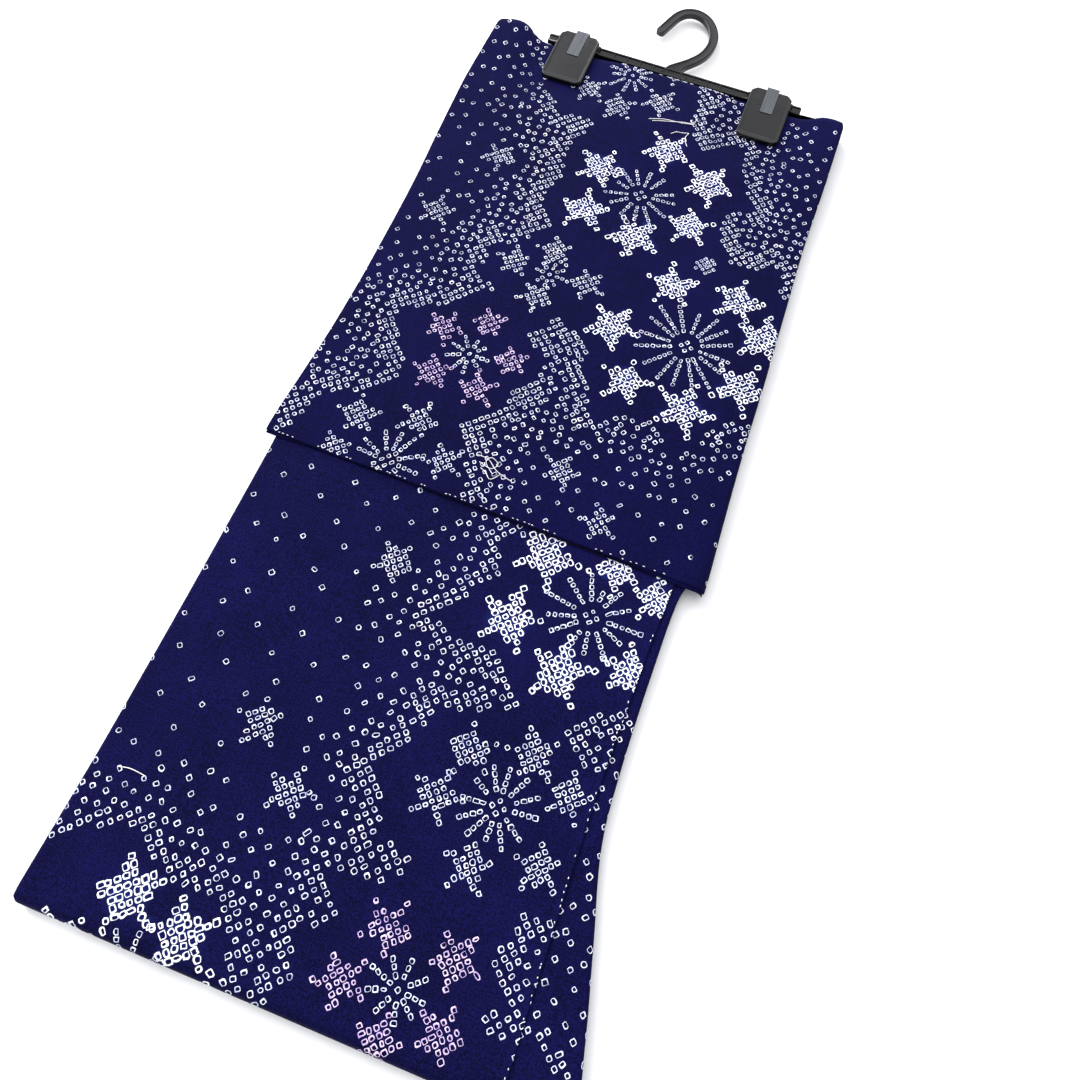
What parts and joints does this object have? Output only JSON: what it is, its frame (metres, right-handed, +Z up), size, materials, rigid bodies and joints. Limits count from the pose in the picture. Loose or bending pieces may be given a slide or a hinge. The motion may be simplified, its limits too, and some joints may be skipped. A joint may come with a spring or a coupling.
{
  "type": "folded yukata robe on a clip hanger",
  "caption": "Cotton yukata robe folded in a long flat packet, one sleeve laid back over the body, its shoulder end gripped by the clips of a plastic hanger with an open hook.",
  "frame": {"origin": "on the surface that the packet lies on, under the middle of the packet: half-way between the shoulder fold and the half-length fold", "axes": "+X across the packet, towards the side seam; +Y along it, towards the hanger's hook; +Z up, away from the surface"},
  "size_m": [0.378, 0.9429, 0.0167],
  "materials": {
    "cotton_sleeve": "plain-woven cotton, navy with white tie-dyed rings",
    "cotton_back": "plain-woven cotton, navy with white tie-dyed rings",
    "cotton_front": "plain-woven cotton, navy with white tie-dyed rings",
    "cotton_layers": "plain-woven navy cotton, folded edges",
    "hanger_plastic": "moulded black polystyrene, glossy",
    "clip_plastic": "moulded black polystyrene, glossy",
    "spring_steel": "cold-rolled spring steel, blackened"
  },
  "bodies": {
    "root": {"sleeve_left": "cotton_sleeve", "body_back_left": "cotton_back", "body_front_left": "cotton_front", "folded_layers": "cotton_layers", "hanger_bar": "hanger_plastic", "hanger_hook": "hanger_plastic", "clip_front_left": "clip_plastic", "clip_back_left": "clip_plastic", "clip_front_right": "clip_plastic", "clip_back_right": "clip_plastic", "clip_spring_left": "spring_steel", "clip_spring_right": "spring_steel"}
  },
  "joints": []
}
